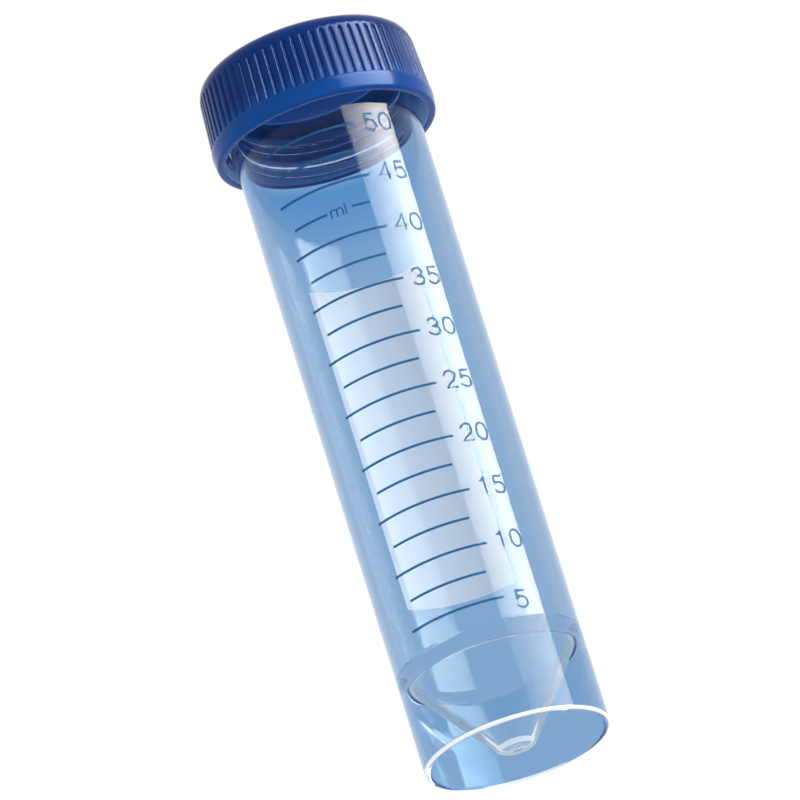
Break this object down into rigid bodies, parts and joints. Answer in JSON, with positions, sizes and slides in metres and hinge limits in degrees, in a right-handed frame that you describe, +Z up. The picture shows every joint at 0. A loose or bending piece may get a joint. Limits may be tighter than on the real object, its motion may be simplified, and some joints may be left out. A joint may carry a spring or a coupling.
{
  "type": "50 ml conical tube",
  "caption": "Free-standing 50 ml conical tube: clear body with a printed volume scale, conical bore, skirt to stand on, threaded neck and a ribbed screw cap.",
  "frame": {"origin": "centre of the circle that the skirt's foot stands on", "axes": "+Z up along the tube's axis towards the cap, -Y towards the printed volume scale, +X to the right of the scale as it is read"},
  "size_m": [0.0354, 0.0354, 0.1176],
  "materials": {
    "tube": "clear polypropylene, polished mould",
    "cap": "dark blue polyethylene, satin",
    "scale_ink": "printed ink, mid blue",
    "writing_patch": "printed ink, frosted white"
  },
  "bodies": {
    "tube": {"tube": "tube"},
    "cap": {"cap": "cap"}
  },
  "joints": [
    {"name": "cap_lift", "type": "slide", "parent": "tube", "child": "cap", "axis": [0, 0, 1], "range_m": [0, 0.03]}
  ]
}
